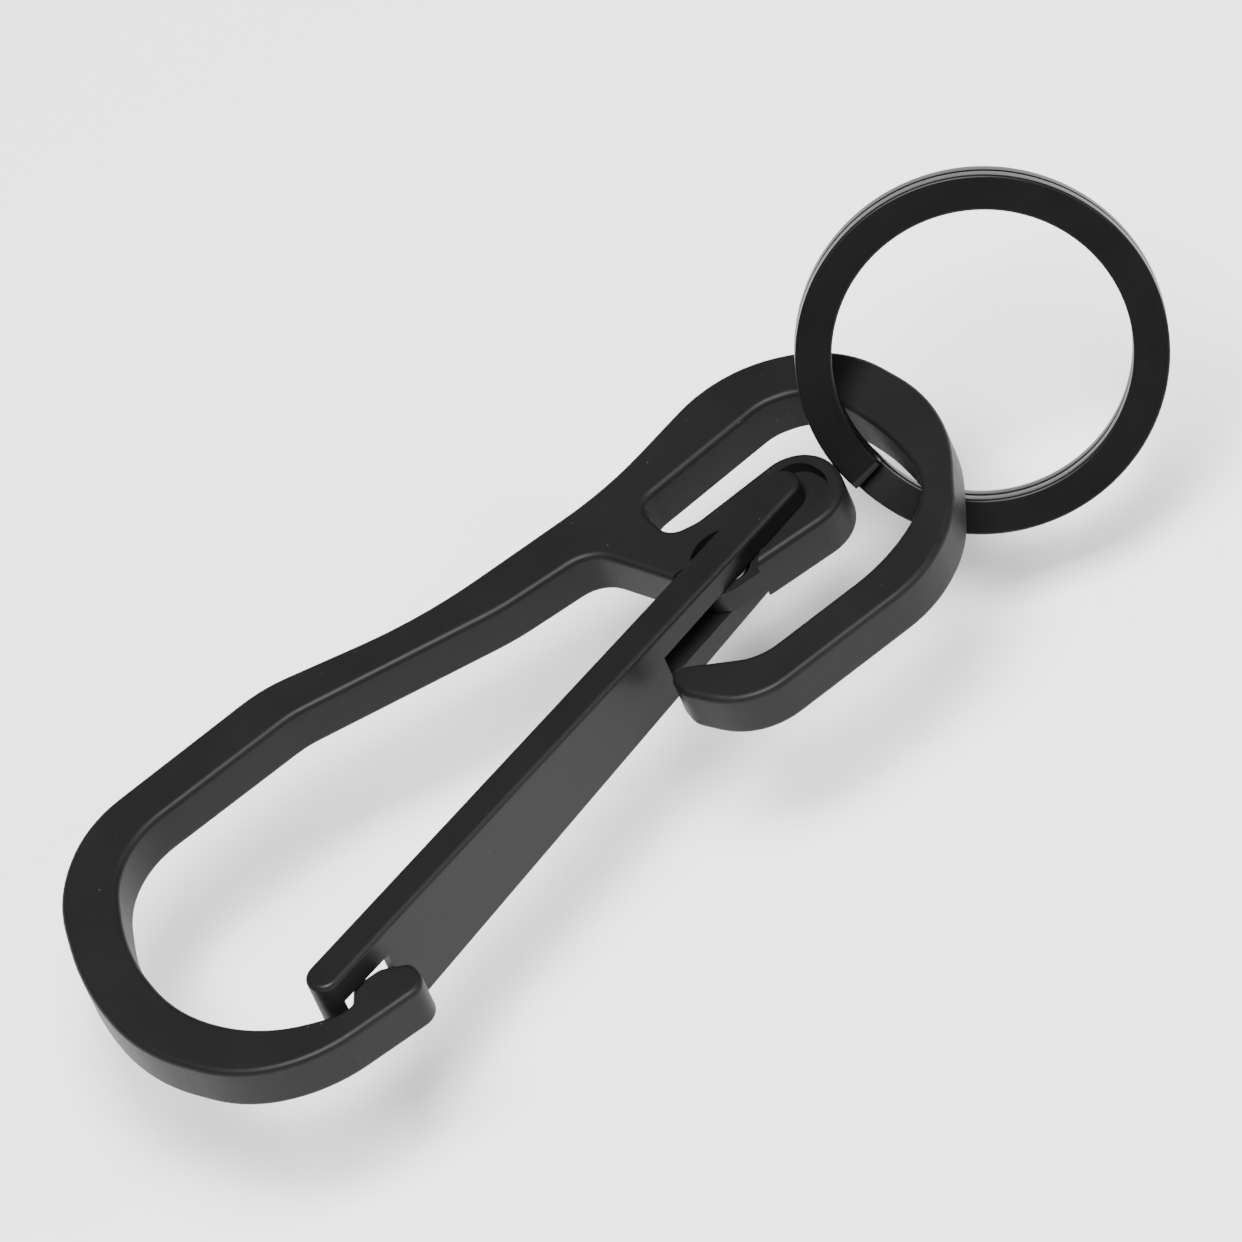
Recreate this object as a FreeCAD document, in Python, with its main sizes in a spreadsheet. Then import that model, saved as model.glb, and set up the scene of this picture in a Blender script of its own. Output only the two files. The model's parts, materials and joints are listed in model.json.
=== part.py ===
import FreeCAD, Part
import math
import os
import Sketcher

# Carabiner keyring, in millimetres. The plate body lies in the XY plane with its mid-plane at
# Z = 0, and its spine runs along +X. The origin is the middle of the hook's round bowl.

# Driving dimensions, one spreadsheet row each: alias, value, meaning.
SIZES = [
    ("plate_thickness", 4.2, "thickness of the plate body"),
    ("edge_radius", 0.5, "rounding of the plate's upper and lower edges"),
    ("pivot_x", 44.3, "gate pivot"),
    ("pivot_y", 4.35, "gate pivot"),
    ("gate_angle", 17.6, "angle of the closed gate to the spine, degrees"),
    ("gate_travel", 13.0, "how far the gate opens, degrees"),
    ("gate_width", 2.8, "width of the gate's cheeks"),
    ("gate_reach", 47.5, "pivot to the gate's free end"),
    ("tail_reach", 8.4, "pivot to the end of the tail"),
    ("gate_end_height", 9.6, "height over both cheeks at the free end"),
    ("gate_tail_height", 5.9, "height over both cheeks at the tail"),
    ("gate_edge", 0.4, "rounding of the gate's long edges"),
    ("outer_wall", 1.0, "thickness of the gate's outer wall"),
    ("channel_height", 4.8, "gap between the cheeks along the channel"),
    ("end_wall", 1.3, "wall that closes the channel at the free end"),
    ("window_reach", 41.2, "pivot to the near end of the nose window"),
    ("fork_reach", 9.2, "pivot to the root of the fork"),
    ("fork_gap", 2.4, "gap between the cheeks in the fork"),
    ("web_thickness", 2.1, "lug thickness left between the two recesses"),
    ("recess_side", 0.2, "gap between a cheek and the recess wall"),
    ("boss_recess_radius", 2.7, "round part of the recess about the pivot"),
    ("rim_radius", 2.6, "round far end of the recess"),
    ("pin_radius", 0.9, "pivot pin"),
    ("pin_clearance", 0.05, "running clearance of the pin in the lug"),
    ("wire", 0.4, "spring wire diameter"),
    ("coil_radius", 1.2, "mean radius of the spring coil"),
    ("coil_turns", 2.25, "turns of the spring coil"),
    ("coil_pitch", 0.44, "rise of one turn"),
    ("spring_pocket_radius", 1.7, "round pocket that holds the coil"),
    ("spring_pocket_depth", 1.45, "depth of the coil's pocket"),
    ("leg_reach", 3.4, "pivot to the end of the spring's long leg"),
    ("short_leg", 1.0, "length of the spring's short leg"),
    ("leg_hole_depth", 0.8, "depth of the hole for the short leg"),
    ("tail_room", 2.0, "recess beyond the end of the tail"),
    ("mouth_round", 0.5, "rounding of the recess at the fork's root"),
    ("bend_round", 1.0, "rounding of the recess at its bend"),
    ("channel_taper", 0.3, "loss of the channel's half height towards the fork"),
    ("window_taper", 0.2, "loss of the window's half height towards its near end"),
    ("pin_envelope", 2.0, "half the width of the block that dresses the pin's ends"),
    ("ring_outer", 14.0, "outer radius of the split ring"),
    ("ring_inner", 11.25, "inner radius of the split ring"),
    ("ring_layer", 1.28, "thickness of one turn of the flat wire"),
    ("ring_split", 0.08, "gap between the two turns"),
    ("ramp_step", 4.0, "angle between two cross-sections of the crossover, degrees"),
    ("crossover", 20.0, "angle over which the wire steps between its turns, degrees"),
    ("ring_x", 69.0, "centre of the ring"),
    ("ring_y", 5.4, "centre of the ring"),
    ("ring_z", 3.8, "centre of the ring"),
    ("ring_lean", 58.5, "angle between the ring's plane and the plate, degrees"),
    ("ring_turn", -20.0, "direction of the line where the two planes cross, degrees"),
    ("ring_roll", 228.0, "where the crossover lies round the ring, degrees"),
]

# Corners of the plate's outline, in order round it: name, x, y, radius of the rounding.
PLATE_CORNERS = [
    ("nose_under", 6.4, -13.75, 1.5),
    ("bowl_floor", -3.4, -13.8, 13.0),
    ("bowl_heel", -9.3, -10.9, 11.0),
    ("bowl_side", -13.6, -3.4, 15.0),
    ("bowl_back", -13.7, 5.04, 24.9),
    ("shoulder", -10.78, 13.77, 11.9),
    ("shoulder_top", -5.6, 18.23, 10.1),
    ("spine_crest", 11.4, 19.65, 12.0),
    ("waist", 23.98, 16.55, 40.0),
    ("waist_end", 41.0, 16.8, 30.0),
    ("loop_top", 53.43, 20.31, 11.3),
    ("loop_corner", 61.8, 15.8, 10.6),
    ("loop_side", 64.83, 4.54, 13.0),
    ("loop_heel", 59.21, -5.21, 10.7),
    ("loop_under", 54.55, -8.16, 10.5),
    ("loop_chin", 38.0, -9.3, 6.0),
    ("tip_low", 35.0, -4.3, 2.0),
    ("tip_high", 35.1, -1.1, 1.0),
    ("tip_throat", 41.2, -5.5, 4.5),
    ("loop_floor", 53.58, -4.65, 14.5),
    ("loop_inside", 59.65, -1.13, 6.1),
    ("loop_inside_top", 59.91, 7.05, 20.0),
    ("slot_corner", 57.4, 13.8, 4.2),
    ("slot_crest", 54.2, 14.9, 4.0),
    ("slot_end_top", 41.9, 13.5, 1.6),
    ("slot_end", 42.2, 9.4, 1.6),
    ("lug_root", 44.6, 8.95, 3.0),
    ("lug_tip_top", 55.2, 9.8, 3.5),
    ("lug_tip", 55.2, 2.0, 3.6),
    ("bridge_foot", 41.9, 2.05, 3.0),
    ("bridge_armpit", 36.9, 12.35, 3.0),
    ("spine_inside", 29.0, 12.55, 20.0),
    ("crest_inside", 11.8, 15.5, 8.0),
    ("shoulder_inside", -5.26, 14.28, 7.9),
    ("bowl_inside_back", -9.38, 5.54, 17.2),
    ("bowl_inside", -9.41, -2.43, 12.5),
    ("bowl_inside_low", -5.52, -8.74, 12.1),
    ("nose_root", -0.3, -11.25, 3.0),
    ("nose_notch", 1.0, -11.2, 0.6),
    ("nose_crest", 1.9, -9.8, 0.8),
    ("nose_brow", 4.3, -9.8, 1.2),
    ("nose_over", 6.4, -11.05, 0.9),
]

doc = FreeCAD.newDocument("carabiner_keyring")
sheet = doc.addObject("Spreadsheet::Sheet", "sizes")


def add_sizes():
    """Write the driving dimensions and the outline's corners to the sheet."""
    rows = list(SIZES)
    for name, x, y, radius in PLATE_CORNERS:
        rows += [(name + "_x", x, name), (name + "_y", y, name), (name + "_round", radius, name)]
    for number, (alias, value, meaning) in enumerate(rows, start=1):
        sheet.set("A%d" % number, meaning)
        sheet.set("B%d" % number, str(value))
        sheet.setAlias("B%d" % number, alias)
    doc.recompute()


def size(alias):
    """Value of one cell of the sheet."""
    return float(sheet.get(alias))


def body(name):
    """New PartDesign body whose label names its file."""
    made = doc.addObject("PartDesign::Body", name)
    made.Label = name
    return made


def sketch_on(owner, role, name, offset=0.0):
    """Sketch on one of the body's own origin planes, moved along its normal."""
    plane = [item for item in owner.Origin.OriginFeatures if item.Role == role][0]
    made = owner.newObject("Sketcher::SketchObject", name)
    made.AttachmentSupport = [(plane, "")]
    made.MapMode = "FlatFace"
    made.AttachmentOffset = FreeCAD.Placement(FreeCAD.Vector(0, 0, offset), FreeCAD.Rotation())
    return made


def tangent_length(before, corner, after, radius):
    """Unit directions to the two neighbours, and the length that the rounding takes."""
    back = (before - corner).normalize()
    ahead = (after - corner).normalize()
    half = back.getAngle(ahead) / 2
    return back, ahead, half, radius / math.tan(half)


def rounded_outline(sketch, corners, cells=None):
    """Closed outline of straight lines joined by tangent arcs.

    Each corner is (x, y, radius). With cells, a list of names, the corner's place and radius
    are bound to the sheet.
    """
    points = [FreeCAD.Vector(x, y, 0) for x, y, _ in corners]
    count = len(points)
    starts, ends, arcs = [], [], []
    for number, (x, y, radius) in enumerate(corners):
        corner = points[number]
        back, ahead, half, length = tangent_length(
            points[number - 1], corner, points[(number + 1) % count], radius)
        middle = corner + (back + ahead).normalize() * (radius / math.sin(half))
        first = corner + back * length
        last = corner + ahead * length
        arc_middle = middle + (corner - middle).normalize() * radius
        ends.append(first)
        starts.append(last)
        arcs.append(Part.Arc(first, arc_middle, last))
    lines = [Part.LineSegment(starts[number], ends[(number + 1) % count])
             for number in range(count)]
    for line, arc in zip(lines, arcs):
        sketch.addGeometry(arc, False)
        sketch.addGeometry(line, False)
    joins = []
    for number in range(count):
        arc, line, following = 2 * number, 2 * number + 1, (2 * number + 2) % (2 * count)
        line_end = ends[(number + 1) % count]
        # An arc that turns clockwise is stored the other way round, so its ends swap.
        arc_end = 2 if sketch.getPoint(arc, 2).isEqual(starts[number], 1e-6) else 1
        next_start = 1 if sketch.getPoint(following, 1).isEqual(line_end, 1e-6) else 2
        joins.append(Sketcher.Constraint("Tangent", arc, arc_end, line, 1))
        joins.append(Sketcher.Constraint("Tangent", line, 2, following, next_start))
    sketch.addConstraint(joins)
    if cells:
        bind_corners(sketch, points, cells)


def bind_corners(sketch, points, cells):
    """Hold each corner of an outline at the place and radius that the sheet gives."""
    count = len(points)
    constraints, aliases = [], []
    for number, name in enumerate(cells):
        point = sketch.addGeometry(Part.Point(points[number]), True)
        line, line_before = 2 * number + 1, (2 * number - 1) % (2 * count)
        constraints += [
            Sketcher.Constraint("PointOnObject", point, 1, line),
            Sketcher.Constraint("PointOnObject", point, 1, line_before),
            Sketcher.Constraint("DistanceX", -1, 1, point, 1, points[number].x),
            Sketcher.Constraint("DistanceY", -1, 1, point, 1, points[number].y),
            Sketcher.Constraint("Radius", 2 * number, size(name + "_round")),
        ]
        aliases += [None, None, name + "_x", name + "_y", name + "_round"]
    for place, alias in zip(sketch.addConstraint(constraints), aliases):
        if alias:
            sketch.setExpression("Constraints[%d]" % place, "sizes." + alias)


def circle_sketch(owner, name, cells, offset, centre=(0.0, 0.0)):
    """Sketch of one circle on the XY plane, its radius bound to the sum of the named cells."""
    sketch = sketch_on(owner, "XY_Plane", name, offset)
    middle = FreeCAD.Vector(centre[0], centre[1], 0)
    radius = sum(size(cell) for cell in cells)
    circle = sketch.addGeometry(Part.Circle(middle, FreeCAD.Vector(0, 0, 1), radius))
    sketch.addConstraint(Sketcher.Constraint("DistanceX", -1, 1, circle, 3, centre[0]))
    sketch.addConstraint(Sketcher.Constraint("DistanceY", -1, 1, circle, 3, centre[1]))
    place = sketch.addConstraint(Sketcher.Constraint("Radius", circle, radius))
    terms = " + ".join("sizes." + cell for cell in cells)
    sketch.setExpression("Constraints[%d]" % place, terms)
    return sketch


def pocket(owner, sketch, name, length, reverse=False, both=False):
    """Cut along the sketch's normal by an expression, and make sure that something was cut."""
    doc.recompute()
    before = owner.Shape.Volume
    made = owner.newObject("PartDesign::Pocket", name)
    made.Profile = sketch
    made.Reversed = reverse
    made.Midplane = both
    made.setExpression("Length", length)
    doc.recompute()
    if owner.Shape.Volume > before - 0.01:
        raise RuntimeError(name + " cut nothing")
    return made


def turned(x, y, degrees):
    """Point turned about the origin."""
    angle = math.radians(degrees)
    return (x * math.cos(angle) - y * math.sin(angle), x * math.sin(angle) + y * math.cos(angle))


def recess_corners():
    """Recess in one face of the lug: the space that a cheek sweeps over its travel.

    The corners are taken about the pivot with the closed gate's direction as the first axis,
    then turned and moved into the plate's frame.
    """
    side = size("gate_width") / 2 + size("recess_side")
    travel = size("gate_travel")
    reach = size("tail_reach") + size("tail_room")
    mouth = size("fork_reach")
    far_low = turned(reach, -side, -travel)
    inner_high = turned(-mouth, side, -travel)
    bend = side * math.tan(math.radians(travel / 2))
    corners = [
        (-mouth, -side, size("mouth_round")),
        (-bend, -side, size("bend_round")),
        (far_low[0], far_low[1], size("rim_radius") * 0.9),
        (reach - 0.4, side, size("rim_radius") * 0.75),
        (bend, side, size("bend_round")),
        (inner_high[0], inner_high[1], size("mouth_round")),
    ]
    placed = []
    for x, y, radius in corners:
        along, across = turned(x, y, size("gate_angle"))
        placed.append((along + size("pivot_x"), across + size("pivot_y"), radius))
    return placed


def body_frame():
    """The plate: hook, spine, bridge, loop and lug in one piece."""
    plate = body("body_frame")
    outline = sketch_on(plate, "XY_Plane", "plate_outline")
    corners = [(x, y, radius) for _, x, y, radius in PLATE_CORNERS]
    rounded_outline(outline, corners, [name for name, _, _, _ in PLATE_CORNERS])
    pad = plate.newObject("PartDesign::Pad", "plate_pad")
    pad.Profile = outline
    pad.Midplane = True
    pad.setExpression("Length", "sizes.plate_thickness")
    doc.recompute()
    faces = [number for number, face in enumerate(pad.Shape.Faces, start=1)
             if abs(abs(face.CenterOfMass.z) - size("plate_thickness") / 2) < 1e-6]
    rounding = plate.newObject("PartDesign::Fillet", "plate_rounding")
    rounding.Base = (pad, ["Face%d" % number for number in faces])
    rounding.setExpression("Radius", "sizes.edge_radius")
    doc.recompute()

    half = size("plate_thickness") / 2
    for side, reverse in (("upper", False), ("lower", True)):
        face = half if side == "upper" else -half
        recess = sketch_on(plate, "XY_Plane", side + "_recess_outline", face)
        rounded_outline(recess, recess_corners())
        pocket(plate, recess, side + "_recess",
               "(sizes.plate_thickness - sizes.web_thickness) / 2", reverse)
        boss = circle_sketch(plate, side + "_boss_outline", ["boss_recess_radius"], face,
                             (size("pivot_x"), size("pivot_y")))
        pocket(plate, boss, side + "_boss_recess",
               "(sizes.plate_thickness - sizes.web_thickness) / 2", reverse)
    bore = circle_sketch(plate, "pin_bore_outline", ["pin_radius", "pin_clearance"], 0.0,
                         (size("pivot_x"), size("pivot_y")))
    pocket(plate, bore, "pin_bore", "sizes.plate_thickness", both=True)
    spring_pocket(plate)
    return plate


def spring_pocket(plate):
    """Round pocket in the web for the coil, with a fan-shaped arm for the long leg."""
    web = size("web_thickness") / 2
    coil = circle_sketch(plate, "coil_pocket_outline", ["spring_pocket_radius"], web,
                         (size("pivot_x"), size("pivot_y")))
    pocket(plate, coil, "coil_pocket", "sizes.spring_pocket_depth")
    gap = size("wire")
    end = size("leg_reach") + gap
    near = turned(end, -gap, -size("gate_travel"))
    lines = [(0.0, gap, 0.1), (0.0, -gap, 0.1), (near[0], near[1], 0.3), (end, gap, 0.3)]
    start = size("coil_radius")
    corners = []
    for x, y, radius in lines:
        along, across = turned(x, y + start, size("gate_angle"))
        corners.append((along + size("pivot_x"), across + size("pivot_y"), radius))
    fan = sketch_on(plate, "XY_Plane", "leg_pocket_outline", web)
    rounded_outline(fan, corners)
    pocket(plate, fan, "leg_pocket", "sizes.spring_pocket_depth")


def side_profile(owner, name, near, far, near_half, far_half, offset):
    """Four-sided profile in the gate's XZ plane, from near to far along the gate."""
    sketch = sketch_on(owner, "XZ_Plane", name, offset)
    corners = [(near, -near_half), (far, -far_half), (far, far_half), (near, near_half)]
    for number, (x, z) in enumerate(corners):
        following = corners[(number + 1) % 4]
        sketch.addGeometry(Part.LineSegment(FreeCAD.Vector(x, z, 0),
                                            FreeCAD.Vector(following[0], following[1], 0)), False)
    for number in range(4):
        sketch.addConstraint(Sketcher.Constraint("Coincident", number, 2, (number + 1) % 4, 1))
    return sketch


def gate_half(place):
    """Half the gate's height at a place along it, with the pivot at 0."""
    near, far = -size("gate_reach"), size("tail_reach")
    low, high = size("gate_end_height") / 2, size("gate_tail_height") / 2
    return low + (high - low) * (place - near) / (far - near)


def gate_lever():
    """The gate: two cheeks joined by an outer wall, forked about the lug."""
    gate = body("gate_lever")
    near, far = -size("gate_reach"), size("tail_reach")
    width = size("gate_width")
    profile = side_profile(gate, "gate_profile", near, far, gate_half(near), gate_half(far), 0.0)
    pad = gate.newObject("PartDesign::Pad", "gate_pad")
    pad.Profile = profile
    pad.Midplane = True
    pad.setExpression("Length", "sizes.gate_width")
    doc.recompute()

    upright = [number for number, edge in enumerate(pad.Shape.Edges, start=1)
               if abs(edge.Vertexes[0].Point.x - edge.Vertexes[1].Point.x) < 1e-6
               and abs(edge.Vertexes[0].Point.y - edge.Vertexes[1].Point.y) < 1e-6]
    ends = gate.newObject("PartDesign::Fillet", "gate_ends")
    ends.Base = (pad, ["Edge%d" % number for number in upright])
    ends.setExpression("Radius", "sizes.gate_width / 2 - 0.02")
    doc.recompute()
    slope = [number for number, face in enumerate(ends.Shape.Faces, start=1)
             if abs(face.normalAt(0, 0).z) > 0.9]
    edges = gate.newObject("PartDesign::Fillet", "gate_edges")
    edges.Base = (ends, ["Face%d" % number for number in slope])
    edges.setExpression("Radius", "sizes.gate_edge")
    doc.recompute()

    channel_half = size("channel_height") / 2
    channel = side_profile(gate, "channel_profile", near + size("end_wall"), -size("fork_reach"),
                           channel_half, channel_half - size("channel_taper"), -width / 2)
    pocket(gate, channel, "channel", "sizes.gate_width - sizes.outer_wall", True)
    window = side_profile(gate, "window_profile", near + size("end_wall"), -size("window_reach"),
                          channel_half, channel_half - size("window_taper"), 0.0)
    pocket(gate, window, "nose_window", "2 * sizes.gate_width", both=True)
    fork_half = size("fork_gap") / 2
    fork = side_profile(gate, "fork_profile", -size("fork_reach") - 0.01, far + 1.0,
                        fork_half, fork_half, 0.0)
    pocket(gate, fork, "fork", "2 * sizes.gate_width", both=True)
    bore = circle_sketch(gate, "gate_bore_outline", ["pin_radius"], 0.0)
    pocket(gate, bore, "gate_bore", "2 * sizes.gate_end_height", both=True)
    leg = circle_sketch(gate, "leg_hole_outline", ["wire"], fork_half,
                        (-size("coil_radius"), 0.0))
    pocket(gate, leg, "leg_hole", "sizes.leg_hole_depth", True)
    gate.Placement = pivot_placement()
    return gate


def pivot_placement():
    """From the gate's own frame, with the pivot at its origin, to the plate's frame."""
    place = FreeCAD.Vector(size("pivot_x"), size("pivot_y"), 0)
    return FreeCAD.Placement(place, FreeCAD.Rotation(FreeCAD.Vector(0, 0, 1), size("gate_angle")))


def pivot_pin():
    """Pin pressed into both cheeks, its ends dressed flush with their sloping faces."""
    shaft = doc.addObject("Part::Cylinder", "pin_shaft")
    shaft.setExpression("Radius", "sizes.pin_radius")
    shaft.setExpression("Height", "sizes.gate_end_height")
    shaft.Placement.Base = FreeCAD.Vector(0, 0, -size("gate_end_height") / 2)
    reach = size("pin_envelope")
    low, high = gate_half(-reach), gate_half(reach)
    outline = [FreeCAD.Vector(-reach, -reach, -low), FreeCAD.Vector(reach, -reach, -high),
               FreeCAD.Vector(reach, -reach, high), FreeCAD.Vector(-reach, -reach, low)]
    face = Part.Face(Part.makePolygon(outline + outline[:1]))
    wedge = doc.addObject("Part::Feature", "pin_envelope")
    wedge.Shape = face.extrude(FreeCAD.Vector(0, 2 * reach, 0))
    pin = doc.addObject("Part::Common", "pivot_pin")
    pin.Base, pin.Tool = shaft, wedge
    pin.Label = "pivot_pin"
    doc.recompute()
    pin.Placement = pivot_placement()
    return pin


def gate_spring():
    """Torsion spring: coil about the pin, a short leg up into the gate, a long leg in the lug."""
    wire, coil = size("wire"), size("coil_radius")
    rise = size("coil_pitch") * size("coil_turns")
    floor = size("web_thickness") / 2 - size("spring_pocket_depth") + wire
    helix = Part.makeHelix(size("coil_pitch"), rise, coil)
    helix.translate(FreeCAD.Vector(0, 0, floor))
    section = Part.Wire([Part.Circle(FreeCAD.Vector(coil, 0, floor), FreeCAD.Vector(0, 1, 0),
                                     wire / 2).toShape()])
    sweep = Part.Wire(helix.Edges).makePipeShell([section], True, True)
    long_leg = Part.makeCylinder(wire / 2, size("leg_reach"), FreeCAD.Vector(coil, 0, floor),
                                 FreeCAD.Vector(0, -1, 0))
    # The coil's last quarter turn brings the short leg under the hole in the gate's cheek.
    top = turned(coil, 0, 360.0 * size("coil_turns"))
    short_leg = Part.makeCylinder(wire / 2, size("short_leg"),
                                  FreeCAD.Vector(top[0], top[1], floor + rise),
                                  FreeCAD.Vector(0, 0, 1))
    knee = Part.makeSphere(wire / 2, FreeCAD.Vector(top[0], top[1], floor + rise))
    spring = doc.addObject("Part::Feature", "gate_spring")
    spring.Shape = sweep.fuse([long_leg, short_leg, knee]).removeSplitter()
    spring.Label = "gate_spring"
    # Turned so that the long leg starts on the coil's upper side and points along the tail.
    quarter = FreeCAD.Placement(FreeCAD.Vector(), FreeCAD.Rotation(FreeCAD.Vector(0, 0, 1), 90))
    spring.Placement = pivot_placement().multiply(quarter)
    return spring


def wire_section(angle, low, thickness):
    """Cross-section of the flat wire at an angle round the ring."""
    inner, outer = size("ring_inner"), size("ring_outer")
    corners = [(inner, low), (outer, low), (outer, low + thickness), (inner, low + thickness)]
    points = [FreeCAD.Vector(x, 0, z) for x, z in corners]
    section = Part.makePolygon(points + points[:1])
    section.rotate(FreeCAD.Vector(), FreeCAD.Vector(0, 0, 1), angle)
    return section


def ring_sector(first, last, low_first, low_last, thickness):
    """Stretch of the flat wire between two angles, rising evenly from one height to another."""
    axis = FreeCAD.Vector(0, 0, 1)
    if low_first == low_last:
        face = Part.Face(wire_section(first, low_first, thickness))
        return face.revolve(FreeCAD.Vector(), axis, last - first)
    steps = round(abs(last - first) / size("ramp_step"))
    shares = [number / steps for number in range(steps + 1)]
    sections = [wire_section(first + (last - first) * share,
                             low_first + (low_last - low_first) * share, thickness)
                for share in shares]
    return Part.makeLoft(sections, True, True)


def split_key_ring():
    """Flat wire wound twice, with one crossover where it steps from the lower turn to the upper."""
    layer, gap, step = size("ring_layer"), size("ring_split"), size("crossover")
    lower = ring_sector(0.0, 360.0 - step, -layer - gap / 2, -layer - gap / 2, layer)
    upper = ring_sector(0.0, 360.0 - step, gap / 2, gap / 2, layer)
    ramp = ring_sector(360.0 - step, 360.0, -layer - gap / 2, gap / 2, layer)
    ring = doc.addObject("Part::Feature", "split_key_ring")
    ring.Shape = lower.fuse([ramp, upper]).removeSplitter()
    ring.Label = "split_key_ring"
    centre = FreeCAD.Vector(size("ring_x"), size("ring_y"), size("ring_z"))
    turn = FreeCAD.Rotation(FreeCAD.Vector(0, 0, 1), size("ring_turn"))
    lean = FreeCAD.Rotation(FreeCAD.Vector(1, 0, 0), size("ring_lean"))
    roll = FreeCAD.Rotation(FreeCAD.Vector(0, 0, 1), size("ring_roll"))
    ring.Placement = FreeCAD.Placement(centre, turn.multiply(lean).multiply(roll))
    return ring


def write_parts(pieces):
    """Check the document and each piece, then write one STEP file per piece."""
    doc.recompute()
    for item in doc.Objects:
        if "Invalid" in item.State or "Error" in item.State:
            raise RuntimeError(item.Name + " failed: " + str(item.State))
    os.makedirs("parts", exist_ok=True)
    for piece in pieces:
        shape = piece.Shape
        if shape.isNull() or not shape.isValid() or len(shape.Solids) != 1:
            raise RuntimeError("%s is not one valid solid" % piece.Label)
        shape.exportStep("parts/%s.step" % piece.Label)
        print("%-16s %9.2f mm3" % (piece.Label, shape.Volume))


add_sizes()
write_parts([body_frame(), gate_lever(), pivot_pin(), gate_spring(), split_key_ring()])
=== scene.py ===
"""Looks of the carabiner keyring: a coated plate body, its gate lever and a flat split ring."""

import json
import logging
import math
from dataclasses import dataclass
from enum import Enum
from typing import Any, Optional, Union

import bmesh
import bpy
from mathutils import Matrix, Vector


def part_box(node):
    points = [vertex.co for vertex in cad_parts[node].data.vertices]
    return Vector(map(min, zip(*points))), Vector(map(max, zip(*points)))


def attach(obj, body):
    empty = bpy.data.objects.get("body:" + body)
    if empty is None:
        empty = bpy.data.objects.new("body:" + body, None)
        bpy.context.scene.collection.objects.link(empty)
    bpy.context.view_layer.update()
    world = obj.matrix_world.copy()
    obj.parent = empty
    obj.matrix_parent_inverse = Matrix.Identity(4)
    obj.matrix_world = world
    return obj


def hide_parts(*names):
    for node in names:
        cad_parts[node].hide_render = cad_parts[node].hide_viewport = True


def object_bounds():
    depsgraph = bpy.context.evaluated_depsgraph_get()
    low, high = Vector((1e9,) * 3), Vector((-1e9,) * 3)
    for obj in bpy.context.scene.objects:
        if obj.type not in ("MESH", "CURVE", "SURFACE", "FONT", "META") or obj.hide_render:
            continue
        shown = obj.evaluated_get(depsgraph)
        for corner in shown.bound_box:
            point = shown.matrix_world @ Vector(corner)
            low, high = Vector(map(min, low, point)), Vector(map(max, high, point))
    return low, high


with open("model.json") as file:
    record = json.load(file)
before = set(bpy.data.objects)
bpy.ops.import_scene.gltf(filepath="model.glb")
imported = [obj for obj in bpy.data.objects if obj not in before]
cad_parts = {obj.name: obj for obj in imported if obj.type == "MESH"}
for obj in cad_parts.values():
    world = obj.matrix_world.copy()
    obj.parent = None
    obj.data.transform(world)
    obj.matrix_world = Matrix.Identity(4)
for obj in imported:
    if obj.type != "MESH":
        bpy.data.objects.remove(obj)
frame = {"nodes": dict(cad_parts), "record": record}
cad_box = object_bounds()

LOG = logging.getLogger("carabiner_keyring")
MM = 0.001
VIEW_SHARE = (0.62, 0.46)
VIEW_HEIGHT = 5.9 * MM
NOISE_MIDDLE = 0.5

Link = Union["Wire", int, float]
Colour = tuple[float, float, float]


class Maths(Enum):
    """Math node operations that the finishes use."""

    ADD = "ADD"
    SUBTRACT = "SUBTRACT"
    MULTIPLY = "MULTIPLY"
    SQUARE_ROOT = "SQRT"
    GREATER = "GREATER_THAN"


class Wire:
    """One shader socket, on which the arithmetic operators add Math nodes."""

    def __init__(self, shader: "Shader", socket: bpy.types.NodeSocket) -> None:
        """Keep the socket and the shader that it belongs to.

        Args:
            shader: the material that the nodes are added to.
            socket: the output that this value comes from.
        """
        self.shader = shader
        self.socket = socket

    def maths(self, operation: Maths, first: Link, second: Link = 0.0) -> "Wire":
        """Add a Math node.

        Args:
            operation: what the node does.
            first: its first value or link.
            second: its second value or link.

        Returns:
            The node's result.
        """
        return self.shader.node("ShaderNodeMath", {"operation": operation.value},
                                {0: first, 1: second})

    def __add__(self, other: Link) -> "Wire":
        """Sum of two values."""
        return self.maths(Maths.ADD, self, other)

    __radd__ = __add__

    def __sub__(self, other: Link) -> "Wire":
        """Difference of two values."""
        return self.maths(Maths.SUBTRACT, self, other)

    def __rsub__(self, other: Link) -> "Wire":
        """Difference with this value taken away."""
        return self.maths(Maths.SUBTRACT, other, self)

    def __mul__(self, other: Link) -> "Wire":
        """Product of two values."""
        return self.maths(Maths.MULTIPLY, self, other)

    __rmul__ = __mul__

    def __gt__(self, other: Link) -> "Wire":
        """1 where this value is the greater, otherwise 0."""
        return self.maths(Maths.GREATER, self, other)

    def root(self) -> "Wire":
        """Square root."""
        return self.maths(Maths.SQUARE_ROOT, self)


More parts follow.
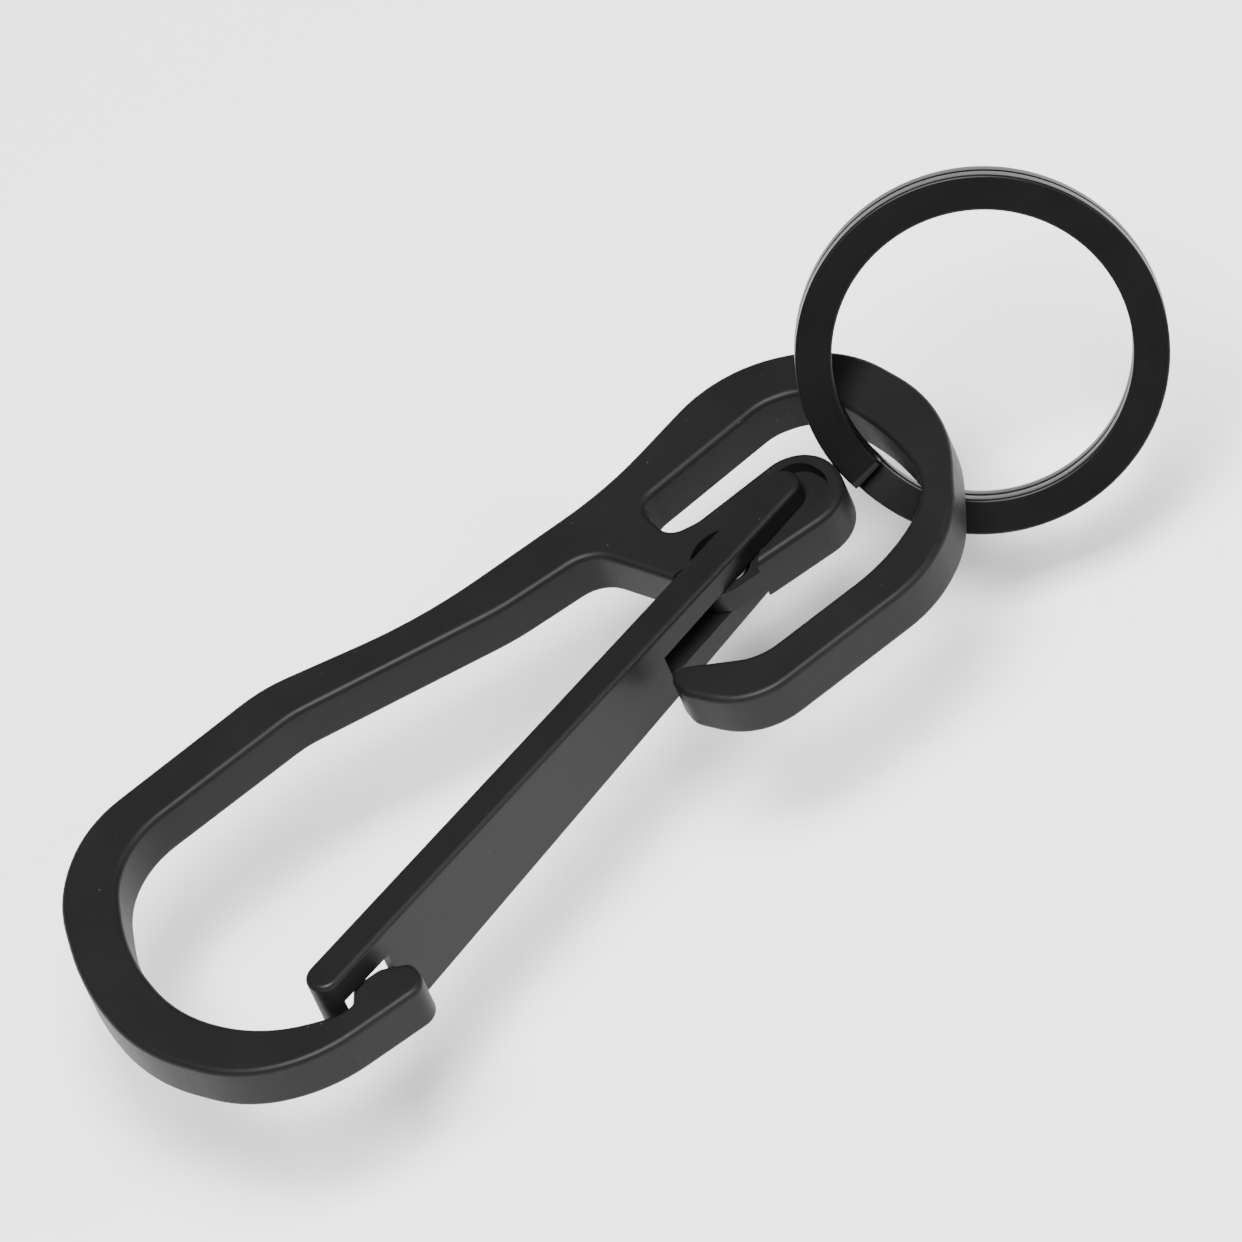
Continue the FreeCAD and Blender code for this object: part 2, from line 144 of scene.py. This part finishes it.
class Shader:
    """A material whose node tree is built by expressions."""

    def __init__(self, name: str) -> None:
        """Start a node material with a Principled shader and its output.

        Args:
            name: the material's name.
        """
        self.material = bpy.data.materials.new(name)
        self.material.use_nodes = True
        self.tree = self.material.node_tree
        self.tree.nodes.clear()
        self.surface = self.add("ShaderNodeBsdfPrincipled", {}, {})
        self.add("ShaderNodeOutputMaterial", {},
                 {"Surface": Wire(self, self.surface.outputs["BSDF"])})

    def add(self, kind: str, settings: dict[str, Any],
            inputs: dict[Any, Any]) -> bpy.types.Node:
        """Add any node.

        Args:
            kind: the node's type.
            settings: its own settings, which are set first, or a ramp's stops.
            inputs: values or links for its sockets.

        Returns:
            The node.
        """
        made = self.tree.nodes.new(kind)
        for name, value in settings.items():
            if name == "stops":
                self.place_stops(made.color_ramp, value)
            else:
                setattr(made, name, value)
        for name, value in inputs.items():
            self.feed(made.inputs[name], value)
        return made

    def node(self, kind: str, settings: dict[str, Any], inputs: dict[Any, Any],
             output: Union[int, str] = 0) -> Wire:
        """Add a node as add does, and give back one of its outputs."""
        return Wire(self, self.add(kind, settings, inputs).outputs[output])

    def feed(self, socket: bpy.types.NodeSocket, value: Any) -> None:
        """Link a wire to a socket, or set the socket's own value.

        Args:
            socket: the input that is fed.
            value: a wire or a plain value.
        """
        if isinstance(value, Wire):
            self.tree.links.new(value.socket, socket)
        else:
            socket.default_value = value

    @staticmethod
    def place_stops(scale: bpy.types.ColorRamp, stops: list[tuple[float, float]]) -> None:
        """Set the stops of a colour ramp.

        Args:
            scale: the ramp.
            stops: pairs of place and grey value.
        """
        while len(scale.elements) < len(stops):
            scale.elements.new(stops[-1][0])
        for element, (place, grey) in zip(scale.elements, stops):
            element.position = place
            element.color = (grey, grey, grey, 1.0)

    def ramp(self, factor: Wire, stops: list[tuple[float, float]]) -> Wire:
        """Turn a value into a grey value along straight stretches between stops."""
        return self.node("ShaderNodeValToRGB", {"stops": stops}, {"Fac": factor}, "Color")

    def position(self) -> Wire:
        """Place on the object, in metres."""
        return self.node("ShaderNodeTexCoord", {}, {}, "Object")

    def noise(self, place: Wire, size: float, detail: float = 2.0, roughness: float = 0.5) -> Wire:
        """Soft cloud pattern.

        Args:
            place: where it is read.
            size: the width of one cloud, in metres.
            detail: how many finer layers it has.
            roughness: how strong the finer layers are.

        Returns:
            A value about 0.5.
        """
        return self.node("ShaderNodeTexNoise", {},
                         {"Vector": place, "Scale": 1.0 / size, "Detail": detail,
                          "Roughness": roughness}, "Fac")

    def cells(self, place: Wire, size: float) -> Wire:
        """Distance to the nearest of many scattered points.

        Args:
            place: where it is read.
            size: the width of one cell, in metres.

        Returns:
            The distance, as a share of a cell.
        """
        return self.node("ShaderNodeTexVoronoi", {}, {"Vector": place, "Scale": 1.0 / size},
                         "Distance")

    def mix(self, factor: Wire, low: Union[Wire, Colour], high: Union[Wire, Colour]) -> Wire:
        """Blend two colours by a value.

        Args:
            factor: the share of the second colour.
            low: the first colour.
            high: the second colour.

        Returns:
            The blended colour.
        """
        low, high = [end if isinstance(end, Wire) else (*end, 1.0) for end in (low, high)]
        return self.node("ShaderNodeMix", {"data_type": "RGBA"},
                         {"Factor": factor, "A": low, "B": high}, "Result")

    def dot(self, first: Wire, axis: Vector) -> Wire:
        """Length of a vector along an axis.

        Args:
            first: the vector.
            axis: a unit direction.

        Returns:
            The length, in metres.
        """
        return self.node("ShaderNodeVectorMath", {"operation": "DOT_PRODUCT"},
                         {0: first, 1: tuple(axis)}, "Value")

    def offset(self, place: Wire, centre: Vector) -> Wire:
        """Place measured from a centre.

        Args:
            place: the place on the object.
            centre: where it is measured from.

        Returns:
            The vector between them.
        """
        return self.node("ShaderNodeVectorMath", {"operation": "SUBTRACT"},
                         {0: place, 1: tuple(centre)}, "Vector")

    def bump(self, height: Wire, depth: float, strength: float,
             normal: Optional[Wire] = None) -> Wire:
        """Bent normal from a height pattern.

        Args:
            height: the pattern.
            depth: how deep it is, in metres.
            strength: how much of it shows.
            normal: a normal that is already bent.

        Returns:
            The new normal.
        """
        inputs: dict[str, Any] = {"Height": height, "Distance": depth, "Strength": strength}
        if normal is not None:
            inputs["Normal"] = normal
        return self.node("ShaderNodeBump", {}, inputs, "Normal")


@dataclass(frozen=True)
class BlackCoat:
    """Black coat on metal, with the fine grain, flow and dust that the real one has."""

    name: str
    dark: Colour = (0.0045, 0.0045, 0.0048)
    pale: Colour = (0.0085, 0.0085, 0.009)
    speck: Colour = (0.05, 0.05, 0.052)
    roughness: float = 0.46
    roughness_spread: float = 0.10
    grain: float = 0.16 * MM
    grain_depth: float = 0.010 * MM
    flow: float = 1.3 * MM
    flow_depth: float = 0.030 * MM
    grain_share: float = 0.3
    grain_roughness: float = 0.12
    cloud: float = 7.0 * MM
    cloud_share: float = 0.7
    speck_cell: float = 1.1 * MM
    speck_core: float = 0.05
    speck_edge: float = 0.075
    speck_patch: float = 2.6 * MM
    speck_threshold: float = 0.58
    speck_strength: float = 0.6
    speck_roughness: float = 0.2
    specular: float = 0.11

    def build(self) -> bpy.types.Material:
        """Make the material.

        Returns:
            The finished material.
        """
        shader = Shader(self.name)
        place = shader.position()
        grain = shader.noise(place, self.grain, detail=3.0, roughness=0.6)
        flow = shader.noise(place, self.flow)
        cloud = shader.noise(place, self.cloud, detail=3.0)
        dots = shader.ramp(shader.cells(place, self.speck_cell),
                           [(0.0, 1.0), (self.speck_core, 1.0), (self.speck_edge, 0.0)])
        specks = dots * (shader.noise(place, self.speck_patch) > self.speck_threshold)
        tone = shader.mix(cloud * self.cloud_share + grain * self.grain_share,
                          self.dark, self.pale)
        colour = shader.mix(specks * self.speck_strength, tone, self.speck)
        rough = ((cloud - NOISE_MIDDLE) * self.roughness_spread
                 + (grain - NOISE_MIDDLE) * self.grain_roughness + self.roughness)
        normal = shader.bump(flow, self.flow_depth, strength=0.30)
        normal = shader.bump(grain, self.grain_depth, strength=0.55, normal=normal)
        shader.feed(shader.surface.inputs["Base Color"], colour)
        shader.feed(shader.surface.inputs["Roughness"], rough + specks * self.speck_roughness)
        shader.feed(shader.surface.inputs["Normal"], normal)
        shader.surface.inputs["Specular IOR Level"].default_value = self.specular
        return shader.material


@dataclass(frozen=True)
class RolledCoat:
    """Black oxide on rolled flat wire: smoother, with faint lines that follow the ring round."""

    name: str
    centre: Vector
    axis: Vector
    dark: Colour = (0.0022, 0.0022, 0.0024)
    pale: Colour = (0.0045, 0.0045, 0.0048)
    roughness: float = 0.36
    specular: float = 0.13
    line: float = 0.11 * MM
    line_depth: float = 0.004 * MM
    line_drift: float = 0.02
    line_share: float = 0.4
    line_roughness: float = 0.16
    cloud: float = 4.0 * MM
    cloud_share: float = 0.6
    cloud_roughness: float = 0.08

    def build(self) -> bpy.types.Material:
        """Make the material.

        Returns:
            The finished material.
        """
        shader = Shader(self.name)
        place = shader.offset(shader.position(), self.centre)
        first = self.axis.orthogonal().normalized()
        second = self.axis.cross(first)
        along, across = shader.dot(place, first), shader.dot(place, second)
        height = shader.dot(place, self.axis)
        radius = (along * along + across * across).root()
        rings = shader.node("ShaderNodeCombineXYZ", {},
                            {0: radius, 1: height, 2: along * self.line_drift}, "Vector")
        lines = shader.noise(rings, self.line, detail=3.0, roughness=0.65)
        cloud = shader.noise(place, self.cloud, detail=3.0)
        shader.feed(shader.surface.inputs["Base Color"],
                    shader.mix(cloud * self.cloud_share + lines * self.line_share,
                               self.dark, self.pale))
        shader.feed(shader.surface.inputs["Roughness"],
                    (lines - NOISE_MIDDLE) * self.line_roughness
                    + (cloud - NOISE_MIDDLE) * self.cloud_roughness + self.roughness)
        shader.feed(shader.surface.inputs["Normal"],
                    shader.bump(lines, self.line_depth, strength=0.4))
        shader.surface.inputs["Specular IOR Level"].default_value = self.specular
        return shader.material


@dataclass(frozen=True)
class SpringSteel:
    """Blackened drawn wire with fine scratches and a little staining."""

    name: str
    bright: Colour = (0.11, 0.11, 0.115)
    stained: Colour = (0.05, 0.048, 0.047)
    stain: float = 0.8 * MM
    scratch: float = 0.06 * MM
    scratch_depth: float = 0.003 * MM
    scratch_roughness: float = 0.2
    roughness: float = 0.3

    def build(self) -> bpy.types.Material:
        """Make the material.

        Returns:
            The finished material.
        """
        shader = Shader(self.name)
        place = shader.position()
        stain = shader.noise(place, self.stain, detail=3.0)
        scratch = shader.noise(place, self.scratch, detail=4.0, roughness=0.7)
        shader.feed(shader.surface.inputs["Base Color"],
                    shader.mix(stain, self.stained, self.bright))
        shader.feed(shader.surface.inputs["Roughness"],
                    scratch * self.scratch_roughness + self.roughness)
        shader.feed(shader.surface.inputs["Normal"],
                    shader.bump(scratch, self.scratch_depth, strength=0.5))
        shader.surface.inputs["Metallic"].default_value = 1.0
        return shader.material


def dress(piece: bpy.types.Object, material: bpy.types.Material) -> None:
    """Put one material on every slot of a piece.

    Args:
        piece: the object that is dressed.
        material: what it is dressed in.
    """
    if not piece.material_slots:
        piece.data.materials.append(material)
    for slot in piece.material_slots:
        slot.material = material


@dataclass
class SplitRing:
    """Flat wire wound twice, with a crossover where it steps from one turn to the next."""

    centre: Vector
    axis: Vector
    outer: float = 14.0 * MM
    inner: float = 11.25 * MM
    layer: float = 1.28 * MM
    split: float = 0.08 * MM
    edge: float = 0.22 * MM
    edge_steps: int = 4
    merge: float = 0.001 * MM
    crossover: float = math.radians(20.0)
    roll: float = math.radians(228.0)
    steps_round: int = 132
    steps_over: int = 10
    normal_weight: int = 100

    def section(self, mesh: bmesh.types.BMesh) -> list[bmesh.types.BMEdge]:
        """Rounded outline of the flat wire where the lower turn starts.

        Args:
            mesh: the mesh that it is made in.

        Returns:
            The outline's edges, with the face inside them kept as the cut end.
        """
        low = -self.layer - self.split / 2
        corners = [(self.inner, low), (self.outer, low),
                   (self.outer, low + self.layer), (self.inner, low + self.layer)]
        verts = [mesh.verts.new((x, 0.0, z)) for x, z in corners]
        mesh.faces.new(verts)
        bmesh.ops.bevel(mesh, geom=verts, affect="VERTICES", offset=self.edge,
                        segments=self.edge_steps, profile=0.5, material=-1)
        return list(mesh.edges)

    def sweep(self, mesh: bmesh.types.BMesh, edges: list[bmesh.types.BMEdge], angle: float,
              rise: float, steps: int) -> list[bmesh.types.BMEdge]:
        """Carry the outline round the ring's axis.

        Args:
            mesh: the mesh that it is made in.
            edges: the outline where the stretch starts.
            angle: how far round it goes.
            rise: how far it climbs on the way.
            steps: how many pieces it is made of.

        Returns:
            The outline where the stretch ends.
        """
        made = bmesh.ops.spin(mesh, geom=edges, cent=(0, 0, 0), axis=(0, 0, 1),
                              dvec=(0, 0, rise / steps), angle=angle, steps=steps,
                              use_merge=False, use_duplicate=False)
        return [item for item in made["geom_last"] if isinstance(item, bmesh.types.BMEdge)]

    def build(self) -> bpy.types.Object:
        """Make the ring's mesh in place.

        Returns:
            The ring, with its place in its mesh.
        """
        mesh = bmesh.new()
        edges = self.section(mesh)
        flat = 2 * math.pi - self.crossover
        edges = self.sweep(mesh, edges, flat, 0.0, self.steps_round)
        edges = self.sweep(mesh, edges, self.crossover, self.layer + self.split, self.steps_over)
        edges = self.sweep(mesh, edges, flat, 0.0, self.steps_round)
        bmesh.ops.contextual_create(mesh, geom=edges)
        bmesh.ops.remove_doubles(mesh, verts=mesh.verts, dist=self.merge)
        bmesh.ops.recalc_face_normals(mesh, faces=mesh.faces)
        bmesh.ops.transform(mesh, matrix=self.placing(), verts=mesh.verts)
        data = bpy.data.meshes.new("split_ring_wire")
        mesh.to_mesh(data)
        mesh.free()
        data.polygons.foreach_set("use_smooth", [True] * len(data.polygons))
        piece = bpy.data.objects.new("split_ring_wire", data)
        bpy.context.scene.collection.objects.link(piece)
        weights = piece.modifiers.new("even_normals", "WEIGHTED_NORMAL")
        weights.weight = self.normal_weight
        return piece

    def placing(self) -> Matrix:
        """Work out the move from the ring's own axis and crossover to its place on the loop.

        Returns:
            The move, as one matrix.
        """
        level = Vector((0, 0, 1)).cross(self.axis).normalized()
        up = self.axis.cross(level)
        basis = Matrix((level, up, self.axis)).transposed().to_4x4()
        return Matrix.Translation(self.centre) @ basis @ Matrix.Rotation(self.roll, 4, "Z")

    def dress(self, piece: bpy.types.Object) -> None:
        """Coat the ring, and put it in the place of its plain solid.

        Args:
            piece: the ring that build made.
        """
        dress(piece, RolledCoat("black_rolled_wire", self.centre, self.axis).build())
        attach(piece, "ring")
        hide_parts("split_key_ring")


@dataclass
class CoatedParts:
    """The plate body and the gate: their solids keep their shape and get their coats."""

    plate: str = "body_frame"
    gate: str = "gate_lever"
    pin: str = "pivot_pin"
    spring: str = "gate_spring"

    def dress(self, nodes: dict[str, bpy.types.Object]) -> None:
        """Coat each part.

        Args:
            nodes: the frame's parts by name.
        """
        body_coat = BlackCoat("black_powder_body").build()
        gate_coat = BlackCoat("black_powder_gate", roughness=0.38).build()
        dress(nodes[self.plate], body_coat)
        dress(nodes[self.gate], gate_coat)
        dress(nodes[self.pin], gate_coat)
        dress(nodes[self.spring], SpringSteel("drawn_spring_wire").build())


@dataclass(frozen=True)
class SoftLight:
    """Square soft light that faces the object."""

    name: str
    towards: tuple[float, float, float]
    distance: float
    size: float
    power: float

    def place(self, middle: Vector) -> None:
        """Put the light in the scene.

        Args:
            middle: the point that it faces.
        """
        data = bpy.data.lights.new(self.name, "AREA")
        data.shape = "SQUARE"
        data.size = self.size
        data.energy = self.power
        light = bpy.data.objects.new(self.name, data)
        ahead = Vector(self.towards).normalized()
        turn = ahead.to_track_quat("Z", "Y").to_matrix().to_4x4()
        light.matrix_world = Matrix.Translation(middle + ahead * self.distance) @ turn
        bpy.context.scene.collection.objects.link(light)


KEY_LIGHT = SoftLight("key_light", (-0.1, -0.3, 0.95), 1.1, 0.6, 48.0)
EDGE_LIGHT = SoftLight("edge_light", (0.54, -0.60, 0.57), 0.8, 0.12, 2.4)


@dataclass
class Studio:
    """Pale floor, soft lights and the camera."""

    middle: Vector
    azimuth: float = math.radians(-12.875)
    elevation: float = math.radians(48.0)
    roll: float = math.radians(24.6)
    view_width: float = 92.0 * MM
    lens: float = 600.0
    sensor: float = 36.0
    floor_drop: float = 8.0 * MM
    floor_size: float = 3.0
    floor_grey: float = 0.92
    floor_roughness: float = 0.9
    room_light: float = 0.15
    near: float = 0.01
    far: float = 20.0

    def axes(self) -> tuple[Vector, Vector, Vector]:
        """Work out the camera's directions.

        Returns:
            Its right, up and backward directions.
        """
        level = Vector((math.cos(self.azimuth), math.sin(self.azimuth), 0.0))
        back = Vector((math.sin(self.azimuth) * math.cos(self.elevation),
                       -math.cos(self.azimuth) * math.cos(self.elevation),
                       math.sin(self.elevation)))
        rise = back.cross(level)
        turn = Matrix.Rotation(-self.roll, 3, back)
        return turn @ level, turn @ rise, back

    def camera(self) -> None:
        """Long lens at the chosen angle, aimed at the middle of the picture."""
        right, up, back = self.axes()
        data = bpy.data.cameras.new("long_lens")
        data.lens = self.lens
        data.sensor_width = self.sensor
        data.clip_start, data.clip_end = self.near, self.far
        camera = bpy.data.objects.new("long_lens", data)
        distance = self.view_width * self.lens / self.sensor
        turn = Matrix((right, up, back)).transposed().to_4x4()
        camera.matrix_world = Matrix.Translation(self.middle + back * distance) @ turn
        bpy.context.scene.collection.objects.link(camera)
        bpy.context.scene.camera = camera

    def floor(self, lowest: float) -> None:
        """Pale matt floor, low enough for the ring to swing above it.

        Args:
            lowest: the object's lowest point at rest.
        """
        mesh = bmesh.new()
        bmesh.ops.create_grid(mesh, x_segments=1, y_segments=1, size=self.floor_size / 2)
        place = (self.middle.x, self.middle.y, lowest - self.floor_drop)
        bmesh.ops.translate(mesh, vec=place, verts=mesh.verts)
        data = bpy.data.meshes.new("studio_floor")
        mesh.to_mesh(data)
        mesh.free()
        floor = bpy.data.objects.new("studio_floor", data)
        bpy.context.scene.collection.objects.link(floor)
        shader = Shader("pale_floor")
        shader.surface.inputs["Base Color"].default_value = (*[self.floor_grey] * 3, 1.0)
        shader.surface.inputs["Roughness"].default_value = self.floor_roughness
        dress(floor, shader.material)

    def world(self) -> None:
        """Even soft light from all round."""
        world = bpy.data.worlds.new("soft_room")
        world.use_nodes = True
        background = world.node_tree.nodes["Background"]
        background.inputs["Color"].default_value = (1.0, 1.0, 1.0, 1.0)
        background.inputs["Strength"].default_value = self.room_light
        bpy.context.scene.world = world

    def build(self, lowest: float) -> None:
        """Set up everything round the object.

        Args:
            lowest: the object's lowest point at rest.
        """
        self.camera()
        self.floor(lowest)
        self.world()
        for light in (KEY_LIGHT, EDGE_LIGHT):
            light.place(self.middle)


def view_middle() -> Vector:
    """Find the point at the middle of the picture.

    Returns:
        The point, at set shares of the plate's length and width.
    """
    low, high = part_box("body_frame")
    return Vector((low.x + (high.x - low.x) * VIEW_SHARE[0],
                   low.y + (high.y - low.y) * VIEW_SHARE[1], VIEW_HEIGHT))


def main() -> None:
    """Dress the parts in order and report each one."""
    logging.basicConfig(level=logging.INFO, format="%(name)s: %(message)s")
    CoatedParts().dress(frame["nodes"])
    LOG.info("coated the plate, the gate, the pin and the spring")

    mounts = {mount["name"]: mount for mount in frame["record"]["mounts"]}
    inside = mounts["ring_inside"]
    ring = SplitRing(Vector(inside["pos_m"]), Vector(inside["axis"]).normalized())
    piece = ring.build()
    ring.dress(piece)
    LOG.info("wound the split ring: %d faces", len(piece.data.polygons))

    Studio(view_middle()).build(cad_box[0].z)
    LOG.info("set up the floor, the lights and the camera")


if __name__ == "__main__":
    main()
